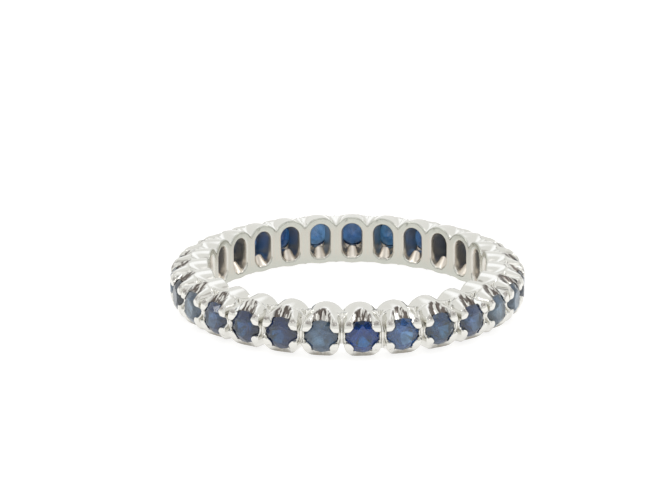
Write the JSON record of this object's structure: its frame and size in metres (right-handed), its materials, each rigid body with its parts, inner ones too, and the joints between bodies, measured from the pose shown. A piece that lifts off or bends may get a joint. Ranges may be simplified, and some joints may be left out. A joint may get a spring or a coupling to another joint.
{
  "type": "eternity ring",
  "caption": "Full eternity ring: round brilliant cut blue stones in one row of open, claw set collets all the way round a polished white metal band.",
  "frame": {"origin": "on the ring's axis, at the plane of the band's lower edge, on which the ring lies", "axes": "+Z along the ring's axis, straight up as it lies on its side; stone_01 faces -Y and the stones count towards +X"},
  "size_m": [0.022, 0.022, 0.003],
  "materials": {
    "white_gold": "polished white gold, slightly warm",
    "sapphire": "clear faceted deep blue gemstone"
  },
  "bodies": {
    "root": {"band": "white_gold", "stone_01": "sapphire", "stone_02": "sapphire", "stone_03": "sapphire", "stone_04": "sapphire", "stone_05": "sapphire", "stone_06": "sapphire", "stone_07": "sapphire", "stone_08": "sapphire", "stone_09": "sapphire", "stone_10": "sapphire", "stone_11": "sapphire", "stone_12": "sapphire", "stone_13": "sapphire", "stone_14": "sapphire", "stone_15": "sapphire", "stone_16": "sapphire", "stone_17": "sapphire", "stone_18": "sapphire", "stone_19": "sapphire", "stone_20": "sapphire", "stone_21": "sapphire", "stone_22": "sapphire", "stone_23": "sapphire", "stone_24": "sapphire", "stone_25": "sapphire", "stone_26": "sapphire", "stone_27": "sapphire"}
  },
  "joints": []
}
